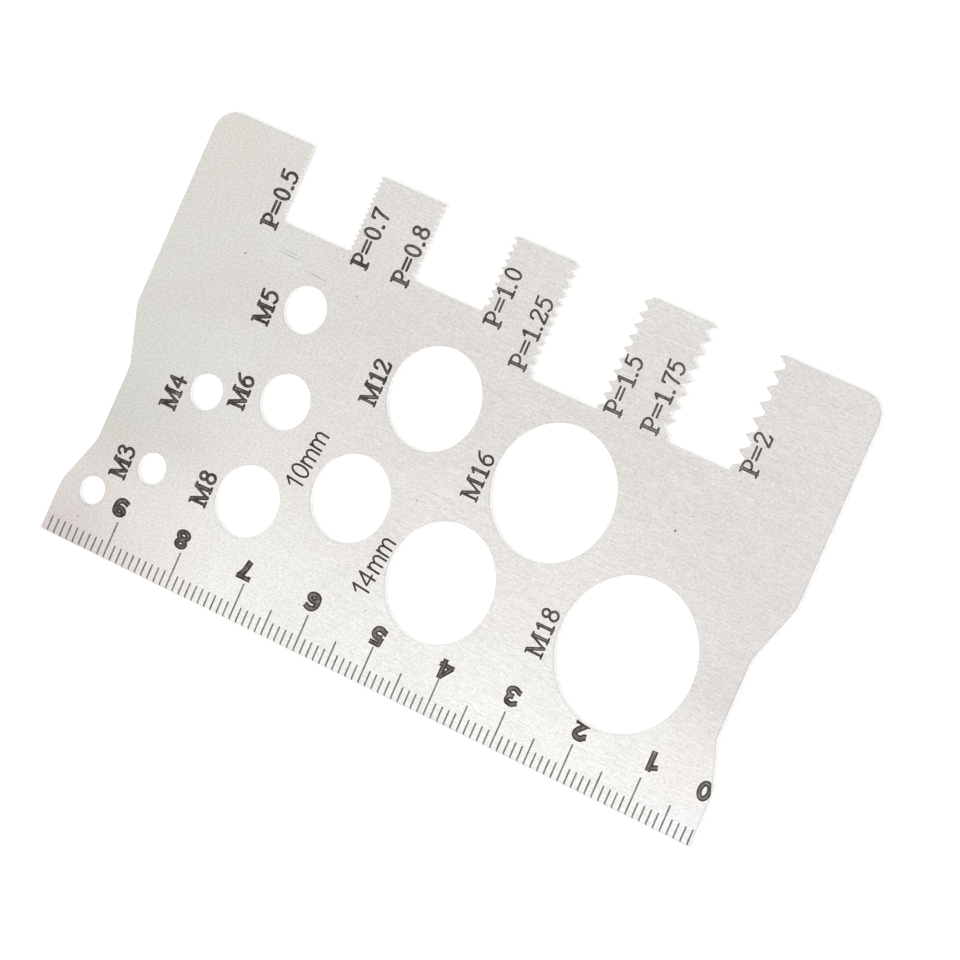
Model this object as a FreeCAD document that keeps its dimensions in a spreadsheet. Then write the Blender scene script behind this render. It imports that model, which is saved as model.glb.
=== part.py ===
import FreeCAD, Part
import math
import os

import Sketcher

# A thread pitch gauge: one flat plate of stainless sheet. It lies on the XY plane with its marked
# face up. The ruler edge is the low Y edge and the toothed notches open at the high Y edge.
# X = 0 and Y = 0 are the middle of the plate, Z = 0 is its back face. Lengths are in millimetres.

# The plate's outline. Every "height" is measured up from the ruler edge, and every "inset" is how
# far that stretch of the side lies inside the head, the widest part.
OUTLINE = {
    "plate_length": 100.0,
    "plate_height": 57.0,
    "plate_thickness": 0.8,
    "foot_inset": 0.25,
    "foot_height": 6.6,
    "waist_inset": 2.7,
    "waist_bottom_height": 12.9,
    "waist_top_height": 23.0,
    "shoulder_height": 30.4,
    "side_blend_radius": 5.0,
    "head_corner_radius": 3.0,
    "edge_break": 0.15,
    "ruler_bevel": 0.3,
}

# The round holes: distance from the left end, height above the ruler edge, diameter.
# A bolt of the size in the name drops through with about a millimetre to spare.
HOLES = {
    "hang": (5.0, 7.0, 3.6),
    "size_3": (11.65, 12.6, 4.0),
    "size_4": (14.4, 24.0, 4.6),
    "size_5": (22.6, 38.2, 6.0),
    "size_6": (25.25, 27.0, 7.0),
    "size_8": (26.0, 14.05, 9.0),
    "size_10": (39.1, 19.8, 11.0),
    "size_12": (44.2, 35.0, 13.0),
    "size_14": (55.15, 15.25, 15.0),
    "size_16": (64.3, 30.8, 17.0),
    "size_18": (81.95, 17.15, 19.0),
}

# The notches: distance of the middle from the left end, width between the tooth tips, depth.
NOTCHES = {
    "fine_notch": (19.75, 10.3, 10.0),
    "medium_notch": (40.2, 10.35, 10.0),
    "coarse_notch": (60.1, 9.95, 15.0),
    "extra_coarse_notch": (80.0, 9.25, 15.0),
}

# The eight toothed flanks: the notch, its side (-1 is the left one), the thread pitch, and how far
# below the top edge the first groove lies. A first groove above the edge only bevels the corner.
FLANKS = {
    "pitch_050": ("fine_notch", -1, 0.5, 0.1),
    "pitch_070": ("fine_notch", 1, 0.7, -0.15),
    "pitch_080": ("medium_notch", -1, 0.8, -0.2),
    "pitch_100": ("medium_notch", 1, 1.0, -0.25),
    "pitch_125": ("coarse_notch", -1, 1.25, -0.1),
    "pitch_150": ("coarse_notch", 1, 1.5, 0.15),
    "pitch_175": ("extra_coarse_notch", -1, 1.75, -0.55),
    "pitch_200": ("extra_coarse_notch", 1, 2.0, -0.7),
}

# The thread form: the angle between a tooth's flanks, in degrees, and how much of the pitch is left
# flat at a tooth's tip and at its root.
THREAD_FORM = {
    "thread_angle": 60.0,
    "tip_flat_share": 0.0625,
    "root_flat_share": 0.25,
}

SAME_PLACE = 1e-6
ORIGIN_POINT = (-1, 1)


def fill_sheet(doc):
    """Puts every driving size into the spreadsheet, one row each, with its name as the alias."""
    sheet = doc.addObject("Spreadsheet::Sheet", "sizes")
    rows = dict(OUTLINE)
    for name, (left, height, diameter) in HOLES.items():
        rows[name + "_hole_from_left"] = left
        rows[name + "_hole_height"] = height
        rows[name + "_hole_diameter"] = diameter
    for name, (left, width, depth) in NOTCHES.items():
        rows[name + "_from_left"] = left
        rows[name + "_width"] = width
        rows[name + "_depth"] = depth
    for name, (_, _, pitch, first_groove) in FLANKS.items():
        rows[name] = pitch
        rows[name + "_first_groove"] = first_groove
    rows.update(THREAD_FORM)
    for row, (alias, value) in enumerate(rows.items(), start=1):
        sheet.set("A%d" % row, alias)
        sheet.set("B%d" % row, str(value))
        sheet.setAlias("B%d" % row, alias)
    doc.recompute()


def from_left(alias):
    """The sketch position of a length measured from the plate's left end."""
    return "sizes.%s - sizes.plate_length / 2" % alias


def from_ruler_edge(alias):
    """The sketch position of a height measured up from the ruler edge."""
    return "sizes.%s - sizes.plate_height / 2" % alias


def new_sketch(body, name, role):
    """A sketch on one of the body's own origin planes."""
    plane = next(part for part in body.Origin.OriginFeatures if part.Role == role)
    sketch = body.newObject("Sketcher::SketchObject", name)
    sketch.AttachmentSupport = [(plane, "")]
    sketch.MapMode = "FlatFace"
    return sketch


def tie(sketch, geometry, point, across, up):
    """Ties one point of the sketch to two expressions, measured from the sketch's origin."""
    for kind, expression in (("DistanceX", across), ("DistanceY", up)):
        constraint = Sketcher.Constraint(kind, *ORIGIN_POINT, geometry, point, 1.0)
        index = sketch.addConstraint(constraint)
        sketch.setExpression("Constraints[%d]" % index, expression)


def draw_polygon(sketch, corners):
    """A closed polygon whose corners are given as pairs of expressions."""
    count = len(corners)
    rough = [
        FreeCAD.Vector(math.cos(math.tau * k / count), math.sin(math.tau * k / count), 0)
        for k in range(count)
    ]
    first = sketch.GeometryCount
    for k in range(count):
        sketch.addGeometry(Part.LineSegment(rough[k], rough[(k + 1) % count]), False)
    for k in range(count):
        after = first + (k + 1) % count
        sketch.addConstraint(Sketcher.Constraint("Coincident", first + k, 2, after, 1))
    for k, (across, up) in enumerate(corners):
        tie(sketch, first + k, 1, across, up)


def draw_circle(sketch, name):
    """One round hole, tied to its three sizes."""
    circle = Part.Circle(FreeCAD.Vector(0, 0, 0), FreeCAD.Vector(0, 0, 1), 1.0)
    index = sketch.addGeometry(circle, False)
    tie(sketch, index, 3, from_left(name + "_hole_from_left"), from_ruler_edge(name + "_hole_height"))
    diameter = sketch.addConstraint(Sketcher.Constraint("Diameter", index, 2.0))
    sketch.setExpression("Constraints[%d]" % diameter, "sizes.%s_hole_diameter" % name)


def outline_corners():
    """The outline's corners anticlockwise from the ruler edge's right end."""
    right_side = [
        ("foot_inset", "-sizes.plate_height / 2"),
        ("foot_inset", from_ruler_edge("foot_height")),
        ("waist_inset", from_ruler_edge("waist_bottom_height")),
        ("waist_inset", from_ruler_edge("waist_top_height")),
        (None, from_ruler_edge("shoulder_height")),
        (None, "sizes.plate_height / 2"),
    ]
    corners = []
    for inset, up in right_side:
        inwards = " - sizes." + inset if inset else ""
        corners.append(("sizes.plate_length / 2" + inwards, up))
    for inset, up in reversed(right_side):
        inwards = " + sizes." + inset if inset else ""
        corners.append(("-sizes.plate_length / 2" + inwards, up))
    return corners


def upright_edges(shape):
    """The names of the shape's edges along Z, each with its place along Y."""
    found = []
    for index, edge in enumerate(shape.Edges, start=1):
        low, high = edge.Vertexes[0].Point, edge.Vertexes[-1].Point
        if math.hypot(high.x - low.x, high.y - low.y) < SAME_PLACE < abs(high.z - low.z):
            found.append(("Edge%d" % index, low.y))
    return found


def round_edges(body, name, base, edges, radius):
    """A fillet of a named radius on the given edges."""
    fillet = body.newObject("PartDesign::Fillet", name)
    fillet.Base = (base, edges)
    fillet.setExpression("Radius", "sizes." + radius)
    body.Document.recompute()
    return fillet


def make_blank(body):
    """The stamped blank: the outline raised to the sheet's thickness, with its corners blended."""
    sketch = new_sketch(body, "outline", "XY_Plane")
    draw_polygon(sketch, outline_corners())
    blank = body.newObject("PartDesign::Pad", "blank")
    blank.Profile = sketch
    blank.setExpression("Length", "sizes.plate_thickness")
    body.Document.recompute()
    bound = blank.Shape.BoundBox
    edges = upright_edges(blank.Shape)
    sides = [name for name, y in edges if bound.YMin + SAME_PLACE < y < bound.YMax - SAME_PLACE]
    blended = round_edges(body, "side_blends", blank, sides, "side_blend_radius")
    edges = upright_edges(blended.Shape)
    head = [name for name, y in edges if y > bound.YMax - SAME_PLACE]
    return round_edges(body, "head_corners", blended, head, "head_corner_radius")


def cut(body, name, sketch, both_ways=False):
    """A pocket right through the plate, checked to take something away."""
    before = body.Shape.Volume
    pocket = body.newObject("PartDesign::Pocket", name)
    pocket.Profile = sketch
    pocket.Type = "ThroughAll"
    if both_ways:
        pocket.SideType = "Symmetric"
    else:
        pocket.Reversed = True
    body.Document.recompute()
    if body.Shape.Volume >= before:
        raise RuntimeError("%s cuts nothing" % name)
    return pocket


def cut_holes(body):
    """The hanging hole and the bolt size holes."""
    sketch = new_sketch(body, "hole_circles", "XY_Plane")
    for name in HOLES:
        draw_circle(sketch, name)
    return cut(body, "holes", sketch)


def break_edges(body, base):
    """A small chamfer on every edge of the marked face and of the back face."""
    faces = [
        "Face%d" % index
        for index, face in enumerate(base.Shape.Faces, start=1)
        if face.BoundBox.ZLength < SAME_PLACE
    ]
    chamfer = body.newObject("PartDesign::Chamfer", "broken_edges")
    chamfer.Base = (base, faces)
    chamfer.setExpression("Size", "sizes.edge_break")
    body.Document.recompute()


def bevel_ruler_edge(body):
    """The wider bevel along the ruler edge of the marked face, cut by a corner that runs past it."""
    inside = "2 * sizes.ruler_bevel - sizes.plate_height / 2"
    outside = "-sizes.ruler_bevel - sizes.plate_height / 2"
    above = "sizes.plate_thickness + sizes.ruler_bevel"
    below = "sizes.plate_thickness - 2 * sizes.ruler_bevel"
    sketch = new_sketch(body, "bevel_section", "YZ_Plane")
    draw_polygon(sketch, [(inside, above), (outside, above), (outside, below)])
    cut(body, "ruler_bevel_cut", sketch, both_ways=True)


def notch_side(notch, side):
    """The place across of a notch's side, where its tooth tips end."""
    sign = "-" if side < 0 else "+"
    return "%s %s sizes.%s_width / 2" % (from_left(notch + "_from_left"), sign, notch)


def cut_notches(body):
    """The four notches, each as wide as the gap between its tooth tips."""
    sketch = new_sketch(body, "notch_outlines", "XY_Plane")
    for notch in NOTCHES:
        left, right = notch_side(notch, -1), notch_side(notch, 1)
        floor = "sizes.plate_height / 2 - sizes.%s_depth" % notch
        above = "sizes.plate_height / 2 + sizes.%s_depth" % notch
        draw_polygon(sketch, [(left, floor), (right, floor), (right, above), (left, above)])
    cut(body, "notches", sketch)


def groove_corners(name, notch, side):
    """One groove between two teeth: a vee with a flat root, open to the notch."""
    half_mouth = "sizes.%s * (1 - sizes.tip_flat_share) / 2" % name
    half_root = "sizes.%s * sizes.root_flat_share / 2" % name
    depth = "(%s - %s) / tan(sizes.thread_angle / 2)" % (half_mouth, half_root)
    middle = "sizes.plate_height / 2 - sizes.%s_first_groove" % name
    into_plate, out_of_plate = ("-", "+") if side < 0 else ("+", "-")
    tips = notch_side(notch, side)
    root = "%s %s %s" % (tips, into_plate, depth)
    clear = "%s %s sizes.%s" % (tips, out_of_plate, name)
    return [
        (clear, "%s + %s" % (middle, half_mouth)),
        (tips, "%s + %s" % (middle, half_mouth)),
        (root, "%s + %s" % (middle, half_root)),
        (root, "%s - %s" % (middle, half_root)),
        (tips, "%s - %s" % (middle, half_mouth)),
        (clear, "%s - %s" % (middle, half_mouth)),
    ]


def cut_teeth(body, name, notch, side):
    """The first groove of one flank, repeated at the thread pitch down to the notch's floor."""
    sketch = new_sketch(body, name + "_groove_outline", "XY_Plane")
    draw_polygon(sketch, groove_corners(name, notch, side))
    groove = cut(body, name + "_groove", sketch)
    before = body.Shape.Volume
    teeth = body.newObject("PartDesign::LinearPattern", name + "_teeth")
    teeth.Originals = [groove]
    teeth.Direction = (sketch, ["V_Axis"])
    teeth.Reversed = True
    teeth.Mode = "Spacing"
    teeth.setExpression("Offset", "sizes." + name)
    room = "(sizes.%s_depth - sizes.%s_first_groove - sizes.%s / 2)" % (notch, name, name)
    teeth.setExpression("Occurrences", "floor(%s / sizes.%s) + 1" % (room, name))
    body.Tip = teeth
    body.Document.recompute()
    if body.Shape.Volume >= before:
        raise RuntimeError("%s has only one groove" % name)


def make_gauge_plate(doc):
    """The whole gauge: one piece of sheet, stamped, deburred and ground."""
    body = doc.addObject("PartDesign::Body", "gauge_plate_body")
    body.Label = "gauge_plate"
    make_blank(body)
    break_edges(body, cut_holes(body))
    bevel_ruler_edge(body)
    cut_notches(body)
    for name, (notch, side, _, _) in FLANKS.items():
        cut_teeth(body, name, notch, side)
    return body


def check(doc, bodies):
    """Stops before anything is written if a feature failed or a piece isn't one sound solid."""
    for item in doc.Objects:
        if "Invalid" in item.State or "Error" in item.State:
            raise RuntimeError("%s failed: %s" % (item.Name, item.State))
    for body in bodies:
        shape = body.Shape
        if shape.isNull() or not shape.isValid() or len(shape.Solids) != 1:
            raise RuntimeError("%s isn't one valid solid" % body.Label)


def main():
    os.makedirs("parts", exist_ok=True)
    doc = FreeCAD.newDocument("thread_pitch_gauge")
    fill_sheet(doc)
    bodies = [make_gauge_plate(doc)]
    doc.recompute()
    check(doc, bodies)
    for body in bodies:
        body.Shape.exportStep("parts/%s.step" % body.Label)
        bound = body.Shape.BoundBox
        size = (bound.XLength, bound.YLength, bound.ZLength)
        print(body.Label, "%.3f x %.3f x %.3f mm" % size, "%.1f mm3" % body.Shape.Volume)


main()
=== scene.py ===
import math

import bpy
import numpy as np
from mathutils import Matrix, Vector, geometry


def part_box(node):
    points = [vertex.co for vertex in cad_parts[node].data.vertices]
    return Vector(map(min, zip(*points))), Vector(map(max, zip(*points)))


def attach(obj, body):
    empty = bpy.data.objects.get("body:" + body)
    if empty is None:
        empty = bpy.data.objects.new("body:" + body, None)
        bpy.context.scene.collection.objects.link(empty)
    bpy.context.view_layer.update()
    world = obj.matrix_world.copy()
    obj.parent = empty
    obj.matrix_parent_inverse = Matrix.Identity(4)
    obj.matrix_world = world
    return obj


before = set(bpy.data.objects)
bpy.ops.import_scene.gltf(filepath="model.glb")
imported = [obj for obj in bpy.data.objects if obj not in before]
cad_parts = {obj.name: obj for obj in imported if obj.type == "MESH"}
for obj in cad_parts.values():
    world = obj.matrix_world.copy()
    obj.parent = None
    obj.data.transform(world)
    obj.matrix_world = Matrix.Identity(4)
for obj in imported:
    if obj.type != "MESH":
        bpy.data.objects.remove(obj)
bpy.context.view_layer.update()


# The gauge plate: one piece of stainless sheet, stamped to its outline, with the holes punched and
# the notches toothed. Its faces are ground along the ruler edge, and fade to a sandier, matt finish
# towards the end with the hanging hole. The cut edges are bare bright metal.
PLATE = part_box("gauge_plate")
FACE = PLATE[1][2]


def place_node(tree, kind, x, y, **settings):
    """Adds one shader node at a place in the node editor, with its plain settings."""
    node = tree.nodes.new(kind)
    node.location = (x, y)
    for name, value in settings.items():
        setattr(node, name, value)
    return node


def stretched_noise(tree, where, scale, detail, x, y):
    """Noise over the plate, stretched by a scale for each axis."""
    stretch = place_node(tree, "ShaderNodeMapping", x, y)
    stretch.inputs["Scale"].default_value = scale
    noise = place_node(tree, "ShaderNodeTexNoise", x + 200, y)
    noise.inputs["Scale"].default_value = 1.0
    noise.inputs["Detail"].default_value = detail
    noise.inputs["Roughness"].default_value = 0.6
    tree.links.new(where, stretch.inputs["Vector"])
    tree.links.new(stretch.outputs["Vector"], noise.inputs["Vector"])
    return noise.outputs["Fac"]


def value_range(tree, value, low, high, to_low, to_high, x, y):
    """Maps a range of one value onto another, held at both ends."""
    spread = place_node(tree, "ShaderNodeMapRange", x, y)
    spread.inputs["From Min"].default_value = low
    spread.inputs["From Max"].default_value = high
    spread.inputs["To Min"].default_value = to_low
    spread.inputs["To Max"].default_value = to_high
    tree.links.new(value, spread.inputs["Value"])
    return spread.outputs["Result"]


# How finely each part of the finish is cut, for each axis: the higher, the finer.
GRINDING_LINES = (1000, 4800, 400)
GRINDING_HAIRLINES = (260, 6200, 400)
SANDY_GRAIN = (2500, 4600, 2500)
SOFT_CLOUDS = (70, 110, 60)
CUTTING_LINES = (4200, 4200, 450)
SANDIEST = 0.95
LEAST_SANDY = 0.55
RELIEF_HEIGHT = 0.000004


def grinding_group():
    """The ground surface: fine lines along the plate that give way to a sandy grain."""
    group = bpy.data.node_groups.new("ground_surface", "ShaderNodeTree")
    group.interface.new_socket("Place", in_out="INPUT", socket_type="NodeSocketVector")
    group.interface.new_socket("Sandiness", in_out="INPUT", socket_type="NodeSocketFloat")
    group.interface.new_socket("Grain", in_out="OUTPUT", socket_type="NodeSocketFloat")
    group.interface.new_socket("Cloud", in_out="OUTPUT", socket_type="NodeSocketFloat")
    place = place_node(group, "NodeGroupInput", -900, 0)
    lines = stretched_noise(group, place.outputs["Place"], GRINDING_LINES, 1.0, -600, 300)
    hairlines = stretched_noise(group, place.outputs["Place"], GRINDING_HAIRLINES, 1.0, -600, 50)
    sand = stretched_noise(group, place.outputs["Place"], SANDY_GRAIN, 1.0, -600, -200)
    cloud = stretched_noise(group, place.outputs["Place"], SOFT_CLOUDS, 2.0, -600, -450)
    ground = place_node(group, "ShaderNodeMix", -150, 200, data_type="FLOAT")
    ground.inputs[0].default_value = 0.4
    group.links.new(lines, ground.inputs[2])
    group.links.new(hairlines, ground.inputs[3])
    fine_sand = value_range(group, sand, 0.0, 1.0, 0.1, 0.9, -150, -150)
    grain = place_node(group, "ShaderNodeMix", 50, 100, data_type="FLOAT")
    group.links.new(place.outputs["Sandiness"], grain.inputs[0])
    group.links.new(ground.outputs[0], grain.inputs[2])
    group.links.new(fine_sand, grain.inputs[3])
    strength = value_range(group, place.outputs["Sandiness"], LEAST_SANDY, SANDIEST, 1.0, 0.62, 50, -150)
    softened = place_node(group, "ShaderNodeMix", 230, 50, data_type="FLOAT")
    softened.inputs[2].default_value = 0.5
    group.links.new(strength, softened.inputs[0])
    group.links.new(grain.outputs[0], softened.inputs[3])
    out = place_node(group, "NodeGroupOutput", 430, 0)
    group.links.new(softened.outputs[0], out.inputs["Grain"])
    group.links.new(cloud, out.inputs["Cloud"])
    return group


def colour_ramp(tree, stops, x, y):
    """A colour ramp with the given places and colours."""
    ramp = place_node(tree, "ShaderNodeValToRGB", x, y)
    ramp.color_ramp.elements[0].position, ramp.color_ramp.elements[0].color = stops[0]
    ramp.color_ramp.elements[1].position, ramp.color_ramp.elements[1].color = stops[-1]
    for position, colour in stops[1:-1]:
        ramp.color_ramp.elements.new(position).color = colour
    return ramp


def mix_colours(tree, blend, amount, below, above, x, y):
    """Mixes two colours. The amount is a socket, or a number for the whole surface."""
    mix = place_node(tree, "ShaderNodeMix", x, y, data_type="RGBA", blend_type=blend)
    if isinstance(amount, bpy.types.NodeSocket):
        tree.links.new(amount, mix.inputs[0])
    else:
        mix.inputs[0].default_value = amount
    tree.links.new(below, mix.inputs[6])
    tree.links.new(above, mix.inputs[7])
    return mix.outputs[2]


# The steel's colour from the ruler edge, 0, to the notched edge, 1, at three places along the plate, with
# painted light and shade in it.
# Painted highlight: paler along the ruler edge in the middle and at the far end. Painted shade: darker and
# pinker at the hanging end, and darker across the far end.
HANGING_END_PAINTED_LIGHT = [
    (0.0, (0.63, 0.58, 0.57, 1)), (0.16, (0.69, 0.65, 0.62, 1)), (0.30, (0.61, 0.60, 0.56, 1)),
    (0.44, (0.66, 0.65, 0.61, 1)), (1.0, (0.70, 0.68, 0.64, 1)),
]
MIDDLE_PAINTED_LIGHT = [
    (0.0, (0.81, 0.80, 0.78, 1)), (0.17, (0.79, 0.78, 0.75, 1)), (0.30, (0.75, 0.73, 0.70, 1)),
    (0.65, (0.69, 0.67, 0.64, 1)), (1.0, (0.71, 0.69, 0.66, 1)),
]
FAR_END_PAINTED_LIGHT = [
    (0.0, (0.81, 0.80, 0.79, 1)), (0.17, (0.76, 0.74, 0.72, 1)), (0.30, (0.66, 0.64, 0.62, 1)),
    (1.0, (0.70, 0.68, 0.66, 1)),
]
# Where along the plate the painted light and shade of its two ends and the sandy grain fade.
HANGING_END_LIGHT_FADE = (-0.045, -0.024)
FAR_END_LIGHT_FADE = (0.028, 0.046)
SAND_FADE = (-0.045, 0.0)


def brushed_steel():
    """Ground stainless steel with bright cut edges, and painted light and shade in its colour."""
    steel = bpy.data.materials.new("ground_stainless")
    steel.use_nodes = True
    tree = steel.node_tree
    shader = tree.nodes["Principled BSDF"]
    shader.inputs["Metallic"].default_value = 1.0
    place = place_node(tree, "ShaderNodeTexCoord", -1500, 0).outputs["Object"]
    axes = place_node(tree, "ShaderNodeSeparateXYZ", -1300, -200)
    tree.links.new(place, axes.inputs["Vector"])
    across = value_range(tree, axes.outputs["Y"], PLATE[0][1], PLATE[1][1], 0.0, 1.0, -1100, 500)
    from_hanging_end = value_range(tree, axes.outputs["X"], *HANGING_END_LIGHT_FADE, 0.0, 1.0, -1100, 350)
    to_far_end = value_range(tree, axes.outputs["X"], *FAR_END_LIGHT_FADE, 0.0, 1.0, -1100, 200)
    sandiness = value_range(tree, axes.outputs["X"], *SAND_FADE, SANDIEST, LEAST_SANDY, -1100, -200)
    surface = place_node(tree, "ShaderNodeGroup", -850, 0, node_tree=grinding_group())
    tree.links.new(place, surface.inputs["Place"])
    tree.links.new(sandiness, surface.inputs["Sandiness"])
    # These ramps hold the steel's tone with painted light and shade: paler along the ruler edge, darker and
    # pinker at the hanging end.
    hanging_end = colour_ramp(tree, HANGING_END_PAINTED_LIGHT, -850, 700)
    middle = colour_ramp(tree, MIDDLE_PAINTED_LIGHT, -850, 450)
    far_end = colour_ramp(tree, FAR_END_PAINTED_LIGHT, -850, 250)
    for tones in (hanging_end, middle, far_end):
        tree.links.new(across, tones.inputs["Fac"])
    near_painted_light = mix_colours(
        tree, "MIX", from_hanging_end, hanging_end.outputs["Color"], middle.outputs["Color"], -550, 700
    )
    steel_and_painted_light = mix_colours(tree, "MIX", to_far_end, near_painted_light, far_end.outputs["Color"], -550, 500)
    cloud_tones = colour_ramp(
        tree, [(0.3, (0.985, 0.975, 0.975, 1)), (0.7, (1.015, 1.02, 1.02, 1))], -600, 300
    )
    tree.links.new(surface.outputs["Cloud"], cloud_tones.inputs["Fac"])
    clouded = mix_colours(tree, "MULTIPLY", 1.0, steel_and_painted_light, cloud_tones.outputs["Color"], -300, 450)
    line_tones = colour_ramp(tree, [(0.2, (0.69, 0.69, 0.69, 1)), (0.8, (1.29, 1.29, 1.29, 1))], -600, 0)
    tree.links.new(surface.outputs["Grain"], line_tones.inputs["Fac"])
    ground = mix_colours(tree, "MULTIPLY", 1.0, clouded, line_tones.outputs["Color"], -300, 200)
    normal = place_node(tree, "ShaderNodeNewGeometry", -1100, -500)
    upright = place_node(tree, "ShaderNodeSeparateXYZ", -900, -500)
    tree.links.new(normal.outputs["Normal"], upright.inputs["Vector"])
    slope = place_node(tree, "ShaderNodeMath", -700, -500, operation="ABSOLUTE")
    tree.links.new(upright.outputs["Z"], slope.inputs[0])
    cut_edge = value_range(tree, slope.outputs["Value"], 0.25, 0.60, 1.0, 0.0, -500, -500)
    cutting_lines = stretched_noise(tree, place, CUTTING_LINES, 2.0, -900, -800)
    edge_tones = colour_ramp(tree, [(0.3, (0.83, 0.82, 0.80, 1)), (0.7, (0.99, 0.98, 0.96, 1))], -450, -800)
    tree.links.new(cutting_lines, edge_tones.inputs["Fac"])
    colour = mix_colours(tree, "MIX", cut_edge, ground, edge_tones.outputs["Color"], -100, 200)
    tree.links.new(colour, shader.inputs["Base Color"])
    roughness = value_range(tree, surface.outputs["Grain"], 0.3, 0.7, 0.30, 0.42, -300, -100)
    tree.links.new(roughness, shader.inputs["Roughness"])
    relief = place_node(tree, "ShaderNodeBump", -300, -350)
    relief.inputs["Strength"].default_value = 0.5
    relief.inputs["Distance"].default_value = RELIEF_HEIGHT
    tree.links.new(surface.outputs["Grain"], relief.inputs["Height"])
    tree.links.new(relief.outputs["Normal"], shader.inputs["Normal"])
    return steel


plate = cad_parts["gauge_plate"]
steel = brushed_steel()
for steel_slot in plate.material_slots:
    steel_slot.material = steel


# The ruler: hair-thin lines etched dark at every millimetre along the ruler edge, from 1 at the
# right end to 99 at the left. They start on the bevel and run on over the face. The half
# centimetres are longer up to six and a half, and the centimetres are the longest.
MM = 0.001
LEFT = PLATE[0][0]
RULER_EDGE = PLATE[0][1]
RULER_ZERO = 100.36 * MM
LINE_WIDTH = 0.23 * MM
LINE_START = 0.12 * MM
MILLIMETRE_LINE = 2.1 * MM
HALF_LINE = 3.5 * MM
CENTIMETRE_LINE = 4.9 * MM
LAST_HALF_LINE = 65
BEVEL = 0.3 * MM
ETCH_RISE = 0.008 * MM
ETCH_THICKNESS = 0.018 * MM
BURNT_SPOTS = (3200, 3200, 3200)
BURNT_PATCHES = (900, 900, 900)
PALER_FAR_END_FADE = (-0.03, 0.05)


def mottle_group():
    """Burnt-in oxide lies unevenly: fine spots inside broader patches."""
    group = bpy.data.node_groups.new("burnt_mottle", "ShaderNodeTree")
    group.interface.new_socket("Place", in_out="INPUT", socket_type="NodeSocketVector")
    group.interface.new_socket("Mottle", in_out="OUTPUT", socket_type="NodeSocketFloat")
    place = place_node(group, "NodeGroupInput", -700, 0)
    spots = stretched_noise(group, place.outputs["Place"], BURNT_SPOTS, 1.0, -500, 150)
    patches = stretched_noise(group, place.outputs["Place"], BURNT_PATCHES, 2.0, -500, -150)
    both = place_node(group, "ShaderNodeMix", -50, 0, data_type="FLOAT")
    both.inputs[0].default_value = 0.55
    group.links.new(spots, both.inputs[2])
    group.links.new(patches, both.inputs[3])
    out = place_node(group, "NodeGroupOutput", 150, 0)
    group.links.new(both.outputs[0], out.inputs["Mottle"])
    return group


def etched_black(name, tones, far_tones=None):
    """Burnt-in black oxide, and where asked a paler tone towards the plate's far end."""
    black = bpy.data.materials.new(name)
    black.use_nodes = True
    tree = black.node_tree
    shader = tree.nodes["Principled BSDF"]
    shader.inputs["Specular IOR Level"].default_value = 0.2
    place = place_node(tree, "ShaderNodeTexCoord", -1100, 0).outputs["Object"]
    burn = place_node(tree, "ShaderNodeGroup", -900, 0, node_tree=mottle)
    tree.links.new(place, burn.inputs["Place"])
    ramp = colour_ramp(tree, tones, -650, 100)
    tree.links.new(burn.outputs["Mottle"], ramp.inputs["Fac"])
    colour = ramp.outputs["Color"]
    if far_tones is not None:
        far_ramp = colour_ramp(tree, far_tones, -650, 350)
        tree.links.new(burn.outputs["Mottle"], far_ramp.inputs["Fac"])
        axes = place_node(tree, "ShaderNodeSeparateXYZ", -900, 400)
        tree.links.new(place, axes.inputs["Vector"])
        along = value_range(tree, axes.outputs["X"], *PALER_FAR_END_FADE, 0.0, 1.0, -650, 600)
        colour = mix_colours(tree, "MIX", along, colour, far_ramp.outputs["Color"], -350, 300)
    tree.links.new(colour, shader.inputs["Base Color"])
    roughness = value_range(tree, burn.outputs["Mottle"], 0.3, 0.7, 0.48, 0.66, -350, -50)
    tree.links.new(roughness, shader.inputs["Roughness"])
    relief = place_node(tree, "ShaderNodeBump", -350, -300)
    relief.inputs["Strength"].default_value = 0.6
    relief.inputs["Distance"].default_value = RELIEF_HEIGHT
    tree.links.new(burn.outputs["Mottle"], relief.inputs["Height"])
    tree.links.new(relief.outputs["Normal"], shader.inputs["Normal"])
    return black


def etched_piece(name, points, faces, materials, face_materials=None):
    """A thin closed skin of oxide on the marked face, fixed to the plate."""
    mesh = bpy.data.meshes.new(name)
    mesh.from_pydata(points, [], faces)
    for material in materials:
        mesh.materials.append(material)
    if face_materials is not None:
        mesh.polygons.foreach_set("material_index", face_materials)
    mesh.update()
    piece = bpy.data.objects.new(name, mesh)
    bpy.context.scene.collection.objects.link(piece)
    skin = piece.modifiers.new("skin", "SOLIDIFY")
    skin.thickness = ETCH_THICKNESS
    skin.offset = -1.0
    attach(piece, "root")


def ruler_line(x, length, points, faces):
    """One line: up the bevel, along the face, and a rounded end."""
    half = LINE_WIDTH / 2
    rounded = (length - 0.3 * half, 0.7 * half)
    stations = [(LINE_START, half), (BEVEL, half), (length - half, half), rounded]
    first = len(points)
    for y, side in stations:
        z = FACE + ETCH_RISE - max(BEVEL - y, 0)
        points.extend([(x - side, RULER_EDGE + y, z), (x + side, RULER_EDGE + y, z)])
    points.append((x, RULER_EDGE + length, FACE + ETCH_RISE))
    for row in range(first, first + 6, 2):
        faces.append((row, row + 1, row + 3, row + 2))
    faces.append((first + 6, first + 7, first + 8))


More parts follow.
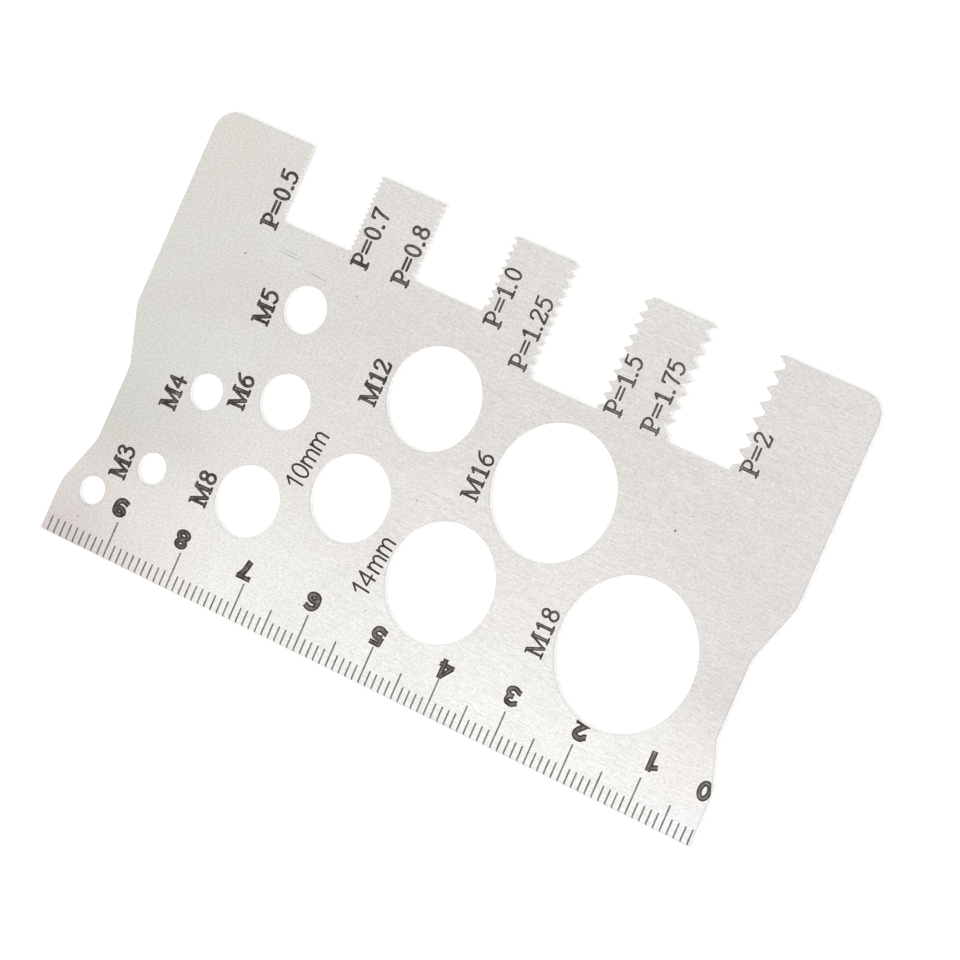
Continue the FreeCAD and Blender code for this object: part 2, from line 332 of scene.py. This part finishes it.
line_points, line_faces = [], []
for millimetre in range(1, 100):
    if millimetre % 10 == 0:
        line_length = CENTIMETRE_LINE
    elif millimetre % 5 == 0 and millimetre <= LAST_HALF_LINE:
        line_length = HALF_LINE
    else:
        line_length = MILLIMETRE_LINE
    ruler_line(LEFT + RULER_ZERO - millimetre * MM, line_length, line_points, line_faces)
mottle = mottle_group()
line_tones = [(0.36, (0.15, 0.138, 0.127, 1)), (0.64, (0.34, 0.326, 0.308, 1))]
line_black = etched_black("etched_line", line_tones)
etched_piece("ruler_lines", line_points, line_faces, [line_black])


# The ruler's figures: the centimetre numbers, each etched upside down above its line, so that they
# stand upright when the ruler edge is held at the top. Laser etching leaves their strokes dark at
# the rim and paler inside. The 2 is cut by the largest hole and the 0 by the plate's end.
EDGE_BREAK = 0.15
CURVE_STEPS = 6
RING_POINTS = 29
CLOSED_GAP = 0.01

# Figures and letters are traced in millimetres on a fine grid. Their places on the plate are counted
# from its left end and its ruler edge.
GRID_STEP = 0.05
GRID_MARGIN = 0.7
FAR_OFF = 9.0
CORNER_SLACK = 0.004
LONGEST_SIDE = 0.6


def curve_through(points):
    """A smooth line through the given points."""
    points = [np.array(p, float) for p in points]
    last = len(points) - 1
    dense = []
    for k in range(last):
        before, start = points[max(k - 1, 0)], points[k]
        end, after = points[k + 1], points[min(k + 2, last)]
        bend = 2 * before - 5 * start + 4 * end - after
        twist = 3 * start - before - 3 * end + after
        for t in np.linspace(0, 1, CURVE_STEPS, endpoint=False):
            dense.append(0.5 * (2 * start + (end - before) * t + bend * t**2 + twist * t**3))
    dense.append(points[last])
    return dense


def ring(x, y, across, up):
    """An oval stroke."""
    turn = np.linspace(0, math.tau, RING_POINTS)
    return list(zip(x + across * np.cos(turn), y + up * np.sin(turn)))


def ink_depth(x, y, strokes, weight, square):
    """How far each place lies outside the nearest stroke. Inside the ink it's negative."""
    depth = np.full(x.shape, FAR_OFF)
    for width, points in strokes:
        away, spot = np.full(x.shape, FAR_OFF), np.zeros(x.shape)
        for k, ((x0, y0), (x1, y1)) in enumerate(zip(points, points[1:])):
            run_x, run_y = x1 - x0, y1 - y0
            along = ((x - x0) * run_x + (y - y0) * run_y) / max(run_x**2 + run_y**2, 1e-9)
            along = np.clip(along, 0, 1)
            here = np.hypot(x - x0 - along * run_x, y - y0 - along * run_y)
            spot = np.where(here < away, k + along, spot)
            away = np.minimum(here, away)
        stroke = away - (width + weight) / 2
        if square and math.dist(points[0], points[-1]) > CLOSED_GAP:
            finish = len(points) - 1
            for at_end, (end_x, end_y), (x1, y1) in (
                (spot <= 0, points[0], points[1]), (spot >= finish, points[-1], points[-2]),
            ):
                run_x, run_y = end_x - x1, end_y - y1
                beyond = ((x - end_x) * run_x + (y - end_y) * run_y) / math.hypot(run_x, run_y)
                stroke = np.where(at_end, np.maximum(stroke, beyond), stroke)
        depth = np.minimum(depth, stroke)
    return depth


def outline_loops(depth, level, x_grid, y_grid):
    """The closed outlines of the part of the grid where the ink is deeper than the level."""
    value = depth - level
    ink = value < 0
    mixed = ink[:-1, :-1].astype(int) + ink[1:, :-1] + ink[1:, 1:] + ink[:-1, 1:]
    following, places = {}, {}
    for i, j in np.argwhere((mixed > 0) & (mixed < 4)):
        corners = [(i, j), (i, j + 1), (i + 1, j + 1), (i + 1, j)]
        entries, exits = [], []
        for k in range(4):
            a, b = corners[k], corners[(k + 1) % 4]
            if ink[a] == ink[b]:
                continue
            edge = (min(a, b), max(a, b))
            share = value[a] / (value[a] - value[b])
            places[edge] = (
                x_grid[a] + share * (x_grid[b] - x_grid[a]),
                y_grid[a] + share * (y_grid[b] - y_grid[a]),
            )
            (exits if ink[a] else entries).append((k, edge))
        for k, edge in exits:
            following[edge] = max(entries, key=lambda entry: (entry[0] - k - 1) % 4)[1]
    loops = []
    while following:
        start = edge = next(iter(following))
        loop = []
        while True:
            loop.append(places[edge])
            edge = following.pop(edge)
            if edge == start:
                break
        loops.append(thin_out(loop))
    return [loop for loop in loops if len(loop) > 2]


def thin_out(loop):
    """Leaves out the points that lie on the line between their neighbours."""
    kept = [loop[0]]
    for k in range(1, len(loop)):
        here = np.array(loop[k])
        start, end = np.array(kept[-1]), np.array(loop[(k + 1) % len(loop)])
        run = end - start
        length = max(np.hypot(*run), 1e-9)
        away = abs(run[0] * (here - start)[1] - run[1] * (here - start)[0]) / length
        if away > CORNER_SLACK or length > LONGEST_SIDE:
            kept.append(tuple(here))
    return kept


def etch_glyph(strokes, weight, rim, centre, right, limits, mark, square=False):
    """Adds one figure to the mark. Inside its dark rim the paler core has faces of its own."""
    spots = np.array([p for _, points in strokes for p in points])
    low, high = spots.min(axis=0) - GRID_MARGIN, spots.max(axis=0) + GRID_MARGIN
    across = np.arange(low[0], high[0], GRID_STEP)
    upwards = np.arange(low[1], high[1], GRID_STEP)
    x_grid, y_grid = np.meshgrid(across, upwards)
    up = (-right[1], right[0])

    def ink_at(x, y):
        plate_x = centre[0] + x * right[0] + y * up[0]
        plate_y = centre[1] + x * right[1] + y * up[1]
        depth = ink_depth(x, y, strokes, weight, square)
        for limit in limits:
            depth = np.maximum(depth, limit(plate_x, plate_y))
        return depth

    depth = ink_at(x_grid, y_grid)
    levels = [0.0] if rim is None else [0.0, -rim]
    corners, sides = [], []
    for level in levels:
        for loop in outline_loops(depth, level, x_grid, y_grid):
            first = len(corners)
            corners.extend(Vector(p) for p in loop)
            sides.extend((first + k, first + (k + 1) % len(loop)) for k in range(len(loop)))
    corners, _, triangles, _, _, _ = geometry.delaunay_2d_cdt(corners, sides, [], 0, 1e-6)
    first = len(mark["points"])
    for corner in corners:
        plate_x = centre[0] + corner.x * right[0] + corner.y * up[0]
        plate_y = centre[1] + corner.x * right[1] + corner.y * up[1]
        mark["points"].append((LEFT + plate_x * MM, RULER_EDGE + plate_y * MM, FACE + ETCH_RISE))
    middles = np.array([
        sum((corners[v] for v in triangle), Vector((0, 0))) / 3 for triangle in triangles
    ])
    depths = ink_at(middles[:, 0], middles[:, 1])
    for triangle, deep in zip(triangles, depths):
        if deep < 0:
            mark["faces"].append(tuple(first + v for v in triangle))
            mark["materials"].append(1 if rim is not None and deep < -rim else 0)


def clear_of_hole(x, y, diameter):
    """A limit that keeps ink off a hole and its broken edge."""
    return lambda at_x, at_y: diameter / 2 + EDGE_BREAK - np.hypot(at_x - x, at_y - y)


def clear_of_line(x, y, out_x, out_y):
    """A limit that keeps ink behind a straight edge through a place, facing outwards."""
    length = math.hypot(out_x, out_y)
    return lambda at_x, at_y: ((at_x - x) * out_x + (at_y - y) * out_y) / length


def blank_mark():
    """A mark with nothing etched in it yet."""
    return {"points": [], "faces": [], "materials": []}


def fix_mark(name, mark):
    """Fixes a finished mark to the plate, with its dark rims and paler cores."""
    etched_piece(name, mark["points"], mark["faces"], [rim_black, core_black], mark["materials"])


BOLD = 0.78
BOLD_FIGURES = {
    "0": [(0.68, ring(0, 0, 0.64, 0.93))],
    "1": [(0.80, [(0.34, 1.25), (0.38, -1.28)]),
          (0.68, curve_through([(0.36, 1.06), (0.02, 0.72), (-0.78, 0.40)]))],
    "2": [(BOLD, curve_through([(-1.02, 0.46), (-0.66, 0.56), (-0.44, 0.82), (0.04, 0.90), (0.52, 0.74),
                                (0.64, 0.36), (0.40, -0.04), (0.0, -0.42), (-0.60, -0.98)])),
          (0.62, [(-1.02, -0.95), (1.05, -0.95)])],
    "3": [(0.68, curve_through([(-0.98, 0.62), (-0.60, 0.72), (-0.36, 0.90), (0.06, 0.94), (0.56, 0.76),
                                (0.56, 0.26), (0.16, 0.04), (-0.20, 0.02)])),
          (0.68, curve_through([(-0.20, 0.02), (0.30, -0.02), (0.72, -0.30), (0.62, -0.74), (0.14, -0.94),
                                (-0.30, -0.90), (-0.60, -0.72), (-1.00, -0.64)]))],
    "4": [(0.72, [(0.46, 1.26), (0.46, -1.24)]), (0.64, [(0.42, 1.06), (-0.76, -0.36)]),
          (0.60, [(-1.08, -0.48), (1.08, -0.48)])],
    "5": [(0.64, [(-0.62, 0.92), (0.92, 0.92)]), (0.66, [(-0.42, 1.10), (-0.60, -0.02)]),
          (BOLD, curve_through([(-0.62, 0.06), (0.10, 0.16), (0.58, -0.02), (0.68, -0.40), (0.38, -0.80),
                                (-0.16, -0.90), (-0.64, -0.70), (-1.02, -0.62)]))],
    "6": [(0.74, ring(0.02, -0.47, 0.68, 0.41)),
          (0.74, curve_through([(-0.68, -0.44), (-0.70, 0.12), (-0.48, 0.62), (-0.04, 0.87), (0.46, 0.84),
                                (0.98, 0.62)]))],
    "7": [(0.62, [(-1.04, 0.90), (1.06, 0.90)]), (0.44, [(-0.82, 1.00), (-0.82, 0.50)]),
          (0.88, curve_through([(0.68, 0.95), (0.16, 0.10), (-0.16, -1.26)]))],
    "8": [(0.62, ring(0, 0.53, 0.66, 0.41)), (0.62, ring(0, 0.53, 0.50, 0.41)),
          (0.64, ring(0, -0.51, 0.76, 0.43)), (0.64, ring(0, -0.51, 0.56, 0.43))],
}
BOLD_FIGURES["9"] = [(width, [(-x, -y) for x, y in points]) for width, points in BOLD_FIGURES["6"]]
FIGURE_RIM = 0.22
FIGURE_PLACES = {
    "9": (9.84, 6.62), "8": (19.82, 6.40), "7": (29.86, 6.40), "6": (40.24, 6.57), "5": (50.42, 6.27),
    "4": (60.70, 6.16), "3": (70.40, 6.86), "2": (80.64, 6.70), "1": (91.12, 7.12), "0": (98.66, 6.72),
}
INK_END = 99.60
WAIST_SLOPE = (6.3, 2.45)
LARGEST_HOLE = (81.95, 17.15, 19.0)
plate_end = [clear_of_line(INK_END, 6.0, 1.0, 0.0), clear_of_line(INK_END, 6.6, *WAIST_SLOPE)]
largest_hole = [clear_of_hole(*LARGEST_HOLE)]
figures = blank_mark()
for figure, place in FIGURE_PLACES.items():
    figure_limits = {"0": plate_end, "2": largest_hole}.get(figure, [])
    etch_glyph(BOLD_FIGURES[figure], 0.0, FIGURE_RIM, place, (-1, 0), figure_limits, figures, square=True)
rim_black = etched_black(
    "etched_rim",
    [(0.36, (0.024, 0.015, 0.012, 1)), (0.68, (0.088, 0.068, 0.058, 1))],
    [(0.36, (0.040, 0.032, 0.028, 1)), (0.68, (0.130, 0.116, 0.105, 1))],
)
core_black = etched_black(
    "etched_core",
    [(0.34, (0.035, 0.024, 0.019, 1)), (0.50, (0.100, 0.080, 0.070, 1)), (0.66, (0.30, 0.26, 0.235, 1))],
    [(0.34, (0.14, 0.125, 0.112, 1)), (0.50, (0.26, 0.24, 0.225, 1)), (0.66, (0.44, 0.42, 0.40, 1))],
)
fix_mark("ruler_figures", figures)


# The pitch marks: P= and the thread pitch in millimetres beside each toothed flank, in a light
# letter with small feet. They are etched to read up the plate from the ruler edge.
FINE = 0.31
SERIF = 0.25
LETTERS = {
    "P": (1.85, [(0.46, [(0.50, 0.15), (0.50, 2.42)]), (FINE, [(0.12, 0.16), (0.95, 0.16)]),
                 (FINE, [(0.12, 2.42), (0.95, 2.42)]),
                 (FINE, curve_through([(0.50, 2.42), (1.15, 2.40), (1.52, 2.05), (1.50, 1.55), (1.10, 1.18),
                                       (0.50, 1.15)]))]),
    "=": (1.95, [(FINE, [(0.16, 1.02), (1.62, 1.02)]), (FINE, [(0.16, 1.62), (1.62, 1.62)])]),
    ".": (0.75, [(0.46, [(0.24, 0.24), (0.28, 0.24)])]),
    "0": (1.72, [(FINE, ring(0.76, 1.30, 0.52, 1.14))]),
    "1": (1.42, [(0.40, [(0.66, 0.15), (0.66, 2.40)]), (FINE, [(0.62, 2.38), (0.22, 2.02)]),
                 (FINE, [(0.24, 0.16), (1.10, 0.16)])]),
    "2": (1.62, [(FINE, curve_through([(0.24, 1.86), (0.36, 2.26), (0.76, 2.44), (1.16, 2.26), (1.26, 1.82),
                                       (0.98, 1.32), (0.56, 0.78), (0.20, 0.26)])),
                 (FINE, [(0.20, 0.18), (1.22, 0.18)]), (FINE, [(1.22, 0.18), (1.38, 0.62)])]),
    "3": (1.50, [(FINE, curve_through([(0.20, 2.02), (0.44, 2.36), (0.86, 2.42), (1.18, 2.14), (1.08, 1.70),
                                       (0.62, 1.42)])),
                 (FINE, curve_through([(0.62, 1.42), (1.14, 1.24), (1.34, 0.80), (1.12, 0.32), (0.62, 0.14),
                                       (0.16, 0.40)]))]),
    "4": (1.60, [(FINE, [(1.06, 0.12), (1.06, 2.42)]), (FINE, [(1.00, 2.38), (0.14, 0.92)]),
                 (FINE, [(0.14, 0.88), (1.46, 0.88)])]),
    "5": (1.52, [(FINE, [(0.42, 2.40), (1.28, 2.46)]), (FINE, [(0.42, 2.36), (0.28, 1.52)]),
                 (FINE, curve_through([(0.28, 1.48), (0.74, 1.70), (1.16, 1.46), (1.30, 0.92), (1.06, 0.36),
                                       (0.58, 0.14), (0.16, 0.38)]))]),
    "6": (1.62, [(FINE, curve_through([(1.36, 2.44), (0.84, 2.16), (0.42, 1.66), (0.24, 0.98), (0.42, 0.36),
                                       (0.80, 0.15), (1.20, 0.36), (1.36, 0.84), (1.18, 1.34), (0.80, 1.50),
                                       (0.36, 1.24)]))]),
    "7": (1.55, [(FINE, [(0.20, 2.34), (1.36, 2.40)]), (FINE, [(0.20, 2.34), (0.14, 1.92)]),
                 (FINE, curve_through([(1.34, 2.34), (0.92, 1.36), (0.68, 0.14)]))]),
    "8": (1.50, [(FINE, ring(0.74, 1.90, 0.46, 0.50)), (FINE, ring(0.74, 0.76, 0.56, 0.60))]),
    "M": (2.80, [(0.30, [(0.42, 0.15), (0.42, 2.40)]), (0.46, [(2.30, 0.20), (2.30, 2.36)]),
                 (SERIF, [(0.14, 0.14), (0.76, 0.14)]), (SERIF, [(0.12, 2.42), (0.60, 2.42)]),
                 (SERIF, [(1.96, 0.14), (2.68, 0.14)]), (SERIF, [(2.12, 2.42), (2.66, 2.42)]),
                 (0.42, [(0.54, 2.34), (1.32, 0.22)]), (0.27, [(1.32, 0.22), (2.16, 2.30)])]),
}


def etch_words(text, baseline, starts, weight, squeeze, rim, limits, mark, turn=0.0, alphabet=LETTERS):
    """Etches a word that reads up the plate, its feet to the right."""
    angle = math.radians(90 - turn)
    right = (math.cos(angle), math.sin(angle))
    start = starts[0]
    for place, letter in enumerate(text):
        advance, strokes = alphabet[letter]
        narrowed = [(width, [(x * squeeze, y) for x, y in points]) for width, points in strokes]
        if place < len(starts):
            start = starts[place]
        centre = (baseline + (start - starts[0]) / math.tan(angle), start)
        etch_glyph(narrowed, weight, rim, centre, right, limits, mark)
        start += advance * squeeze * math.sin(angle)


# Each word, the place of its feet along the plate, where it starts above the ruler edge, what is added
# to the width of its strokes, and how much its letters are squeezed.
PITCH_MARKS = [
    ("P=0.5", 14.30, 45.56, 0.08, 0.965), ("P=0.7", 28.36, 45.62, 0.05, 0.99),
    ("P=0.8", 34.52, 45.72, 0.05, 0.99), ("P=1.0", 48.60, 45.76, -0.01, 1.02),
    ("P=1.25", 54.14, 42.40, -0.01, 1.02), ("P=1.5", 68.50, 42.15, -0.01, 1.01),
    ("P=1.75", 73.98, 42.06, 0.00, 1.02), ("P=2", 88.34, 42.38, -0.01, 1.00),
]
PITCH_RIM = 0.12
FIRST_TEETH = 14.27
clear_of_teeth = [clear_of_line(FIRST_TEETH, 50.0, 1.0, 0.0)]
pitch_marks = blank_mark()
for text, baseline, start, weight, squeeze in PITCH_MARKS:
    limits = clear_of_teeth if text == "P=0.5" else []
    etch_words(text, baseline, [start], weight, squeeze, PITCH_RIM, limits, pitch_marks)
fix_mark("pitch_marks", pitch_marks)


# The bolt size marks: M and the thread size to the left of each size hole, in a heavier letter than
# the pitches. Two of the holes have their size in plain thin figures without an M, a little askew.
# A row is as for the pitch marks, with a start for each letter, and last the word's turn in degrees.
SIZE_MARKS = [
    ("M3", 8.74, (9.76, 12.50), 0.08, 0.94, -1.5), ("M4", 11.36, (20.14, 22.94), 0.09, 0.96, 0.0),
    ("M5", 18.68, (34.40, 37.28), 0.09, 0.98, -1.5), ("M6", 20.38, (23.78, 26.58), 0.10, 0.98, -2.5),
    ("M8", 20.94, (11.00, 13.92), 0.10, 0.98, -0.8), ("M12", 37.12, (30.98, 33.88, 35.24), 0.06, 0.97, 0.0),
    ("M16", 55.32, (25.76, 28.78, 30.22), 0.00, 1.01, 0.0),
    ("M18", 71.94, (12.20, 15.26, 16.80), 0.02, 1.01, 0.0),
]
SIZE_RIM = 0.14
THIN_MARKS = [("10mm", 32.34, 18.02, 1.0), ("14mm", 46.80, 9.80, 0.98)]
THIN_TURN = 6.0
THIN = 0.27
THIN_LETTERS = {
    "1": (1.20, [(THIN, [(0.72, 0.12), (0.72, 2.62)]), (THIN, [(0.72, 2.62), (0.06, 1.80)])]),
    "0": (1.72, [(THIN, ring(0.90, 1.38, 0.60, 1.26))]),
    "4": (1.92, [(THIN, [(1.16, 0.12), (1.16, 2.62)]), (THIN, [(1.16, 2.62), (0.14, 0.90)]),
                 (THIN, [(0.14, 0.82), (1.52, 0.82)])]),
    "m": (2.35, [(THIN, [(0.22, 0.12), (0.22, 1.96)]),
                 (THIN, curve_through([(0.22, 1.36), (0.50, 1.80), (0.86, 1.80), (1.10, 1.40)])),
                 (THIN, [(1.12, 1.44), (1.12, 0.12)]),
                 (THIN, curve_through([(1.12, 1.36), (1.42, 1.80), (1.80, 1.80), (2.04, 1.40)])),
                 (THIN, [(2.06, 1.44), (2.06, 0.12)])]),
}
size_marks = blank_mark()
for text, baseline, starts, weight, squeeze, turn in SIZE_MARKS:
    etch_words(text, baseline, starts, weight, squeeze, SIZE_RIM, [], size_marks, turn=turn)
for text, baseline, start, squeeze in THIN_MARKS:
    etch_words(text, baseline, [start], 0.0, squeeze, None, [], size_marks, THIN_TURN, THIN_LETTERS)
fix_mark("size_marks", size_marks)


# Handling marks: a few hairline scratches, most of them along the grinding, and pits no bigger than a
# pinprick, drawn as flat dark marks.
HAIRLINES = [
    ((15.0, 43.52), (20.8, 43.46), 0.06), ((19.6, 42.58), (24.8, 42.48), 0.05),
    ((15.6, 43.90), (20.0, 43.86), 0.04), ((48.9, 24.75), (50.5, 24.55), 0.04),
    ((70.0, 23.7), (70.6, 25.2), 0.07),
]
PITS = [
    (11.6, 41.5, 0.13), (28.6, 42.4, 0.10), (47.7, 23.0, 0.09), (47.4, 8.4, 0.08),
    (4.7, 3.35, 0.10), (81.3, 32.85, 0.15), (80.4, 34.8, 0.07), (82.8, 35.3, 0.07),
]
PIT_TURNS = np.linspace(0, math.tau, 9)[:-1]
mark_points, mark_faces = [], []


def add_mark(corners):
    """Adds one flat mark with the given corners, in millimetres on the plate."""
    first = len(mark_points)
    mark_points.extend((LEFT + x * MM, RULER_EDGE + y * MM, FACE + ETCH_RISE / 2) for x, y in corners)
    mark_faces.append(tuple(range(first, first + len(corners))))


for (x0, y0), (x1, y1), width in HAIRLINES:
    middle_x, middle_y = (x0 + x1) / 2, (y0 + y1) / 2
    add_mark([(x0, y0), (middle_x, middle_y - width / 2), (x1, y1), (middle_x, middle_y + width / 2)])
for x, y, radius in PITS:
    add_mark([(x + radius * math.cos(turn), y + radius * math.sin(turn)) for turn in PIT_TURNS])
mark_black = etched_black("dark_handling_marks", [(0.36, (0.08, 0.075, 0.07, 1)), (0.68, (0.26, 0.25, 0.235, 1))])
etched_piece("handling_marks", mark_points, mark_faces, [mark_black])


# The setting: the gauge lies flat on a plain pale table, under a soft overhead lamp and a white
# surround. The camera looks down from the right, far off, with the plate turned in its view.
TABLE_REACH = 3.0
TABLE_TOP = -0.00005
TABLE_GLOW = 0.42
SURROUND_LIGHT = 0.6
SURROUND_SEEN = 1.0


def seen_rays(tree, y):
    """1 for rays that show the background, straight, in gloss or through glass, and 0 for others."""
    rays = place_node(tree, "ShaderNodeLightPath", -800, y)
    direct = place_node(tree, "ShaderNodeMath", -600, y, operation="MAXIMUM")
    tree.links.new(rays.outputs["Is Camera Ray"], direct.inputs[0])
    tree.links.new(rays.outputs["Is Glossy Ray"], direct.inputs[1])
    every_view = place_node(tree, "ShaderNodeMath", -450, y, operation="MAXIMUM")
    tree.links.new(direct.outputs["Value"], every_view.inputs[0])
    tree.links.new(rays.outputs["Is Transmission Ray"], every_view.inputs[1])
    return every_view.outputs["Value"]


def table_material():
    """A pale matt table that shows white and still takes the gauge's shadow."""
    pale = bpy.data.materials.new("pale_table")
    pale.use_nodes = True
    tree = pale.node_tree
    tree.nodes.remove(tree.nodes["Principled BSDF"])
    matt = place_node(tree, "ShaderNodeBsdfDiffuse", -200, 100)
    matt.inputs["Color"].default_value = (0.86, 0.86, 0.86, 1)
    glow = place_node(tree, "ShaderNodeEmission", -200, -100)
    lift = place_node(tree, "ShaderNodeMath", -330, -100, operation="MULTIPLY")
    lift.inputs[1].default_value = TABLE_GLOW
    tree.links.new(seen_rays(tree, -100), lift.inputs[0])
    tree.links.new(lift.outputs["Value"], glow.inputs["Strength"])
    both = place_node(tree, "ShaderNodeAddShader", 0, 0)
    tree.links.new(matt.outputs["BSDF"], both.inputs[0])
    tree.links.new(glow.outputs["Emission"], both.inputs[1])
    tree.links.new(both.outputs["Shader"], tree.nodes["Material Output"].inputs["Surface"])
    return pale


table_mesh = bpy.data.meshes.new("table")
table_corners = [
    (x * TABLE_REACH, y * TABLE_REACH, TABLE_TOP) for x, y in ((-1, -1), (1, -1), (1, 1), (-1, 1))
]
table_mesh.from_pydata(table_corners, [], [(0, 1, 2, 3)])
table_mesh.materials.append(table_material())
table = bpy.data.objects.new("table", table_mesh)
bpy.context.scene.collection.objects.link(table)

surround = bpy.data.worlds.new("white_surround")
bpy.context.scene.world = surround
surround.use_nodes = True
surround_tree = surround.node_tree
background = surround_tree.nodes["Background"]
background.inputs["Color"].default_value = (1, 1, 1, 1)
surround_level = value_range(
    surround_tree, seen_rays(surround_tree, 0), 0.0, 1.0, SURROUND_LIGHT, SURROUND_SEEN, -300, 0
)
surround_tree.links.new(surround_level, background.inputs["Strength"])

LAMP_SIZE = (1.2, 0.8)
LAMP_PLACE = (0.08, -0.50, 0.80)
LAMP_POWER = 3.0
lamp_light = bpy.data.lights.new("softbox", "AREA")
lamp_light.shape = "RECTANGLE"
lamp_light.size, lamp_light.size_y = LAMP_SIZE
lamp_light.energy = LAMP_POWER
lamp = bpy.data.objects.new("softbox", lamp_light)
lamp.location = LAMP_PLACE
lamp.rotation_euler = (Vector((0, 0, 0)) - Vector(LAMP_PLACE)).to_track_quat("-Z", "Y").to_euler()
bpy.context.scene.collection.objects.link(lamp)

CAMERA_PLACE = Vector((0.39182, 0.03301, 0.70270))
CAMERA_TARGET = Vector((0.004527, 0.0, 0.0008))
CAMERA_ROLL = 70.44
SENSOR_WIDTH = 36.0
LENS = 251.18
camera_data = bpy.data.cameras.new("camera")
camera_data.sensor_width = SENSOR_WIDTH
camera_data.lens = LENS
camera = bpy.data.objects.new("camera", camera_data)
aim = (CAMERA_TARGET - CAMERA_PLACE).to_track_quat("-Z", "Y").to_matrix().to_4x4()
roll = Matrix.Rotation(math.radians(-CAMERA_ROLL), 4, "Z")
camera.matrix_world = Matrix.Translation(CAMERA_PLACE) @ aim @ roll
bpy.context.scene.collection.objects.link(camera)
bpy.context.scene.camera = camera
bpy.context.scene.view_settings.view_transform = "Standard"
